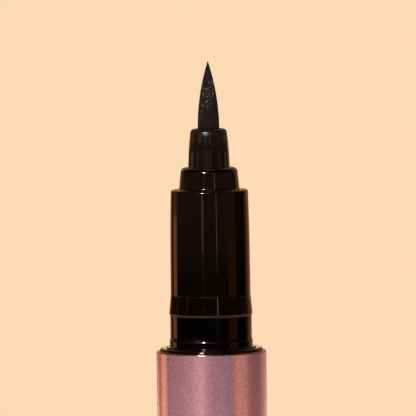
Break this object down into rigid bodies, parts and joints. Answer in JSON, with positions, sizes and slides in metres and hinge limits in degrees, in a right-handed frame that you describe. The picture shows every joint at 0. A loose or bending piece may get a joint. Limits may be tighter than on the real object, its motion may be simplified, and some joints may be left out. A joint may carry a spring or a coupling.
{
  "type": "liquid eyeliner pen",
  "caption": "Slim upright liquid eyeliner pen with a pointed brush tip, stepped glossy front, metal barrel and cap posted on its tail.",
  "frame": {"origin": "centre of the cap's closed end, on which the pen stands", "axes": "+Z along the pen, from the cap's closed end to the brush's point"},
  "size_m": [0.011, 0.011, 0.1553],
  "materials": {
    "pink_metal": "satin pink anodised",
    "gloss_black": "high gloss moulded",
    "tip_holder_black": "gloss moulded",
    "bristle": "ink-wet synthetic bristle",
    "ring_plastic": "matte",
    "wick_fibre": "ink-soaked fibre",
    "tube_plastic": "gloss extruded",
    "collector_plastic": "fine matte moulded",
    "ball_steel": "polished",
    "seal_rubber": "matte",
    "cap_liner_black": "semi-gloss moulded",
    "inner_cap_plastic": "natural moulded",
    "spring_steel": "drawn wire"
  },
  "bodies": {
    "cap": {"cap_casing": "pink_metal", "cap_liner": "cap_liner_black", "cap_end_plug": "cap_liner_black", "cap_spring": "spring_steel"},
    "inner_cap": {"inner_cap": "inner_cap_plastic", "inner_cap_seal": "seal_rubber"},
    "pen": {"barrel_casing": "pink_metal", "barrel_liner": "gloss_black", "front_section": "gloss_black", "section_seal_ring": "seal_rubber", "tip_holder": "tip_holder_black", "brush_tip": "bristle", "brush_ring": "ring_plastic", "feed_wick": "wick_fibre", "feed_tube": "tube_plastic", "ink_collector": "collector_plastic", "ball_stop": "collector_plastic", "tail_plug": "gloss_black", "tail_seal_ring": "seal_rubber"},
    "mixing_ball": {"mixing_ball": "ball_steel"}
  },
  "joints": [
    {"name": "pen_lift", "type": "slide", "parent": "cap", "child": "pen", "axis": [0, 0, 1], "range_m": [0, 0.02]},
    {"name": "inner_cap_push", "type": "slide", "parent": "cap", "child": "inner_cap", "axis": [0, 0, -1], "range_m": [0, 0.0015], "stiffness_N_per_m": 250, "springref_m": -0.003, "deforming": ["cap_spring"]},
    {"name": "ball_roll", "type": "slide", "parent": "pen", "child": "mixing_ball", "axis": [0, 0, 1], "range_m": [0, 0.0605]}
  ]
}
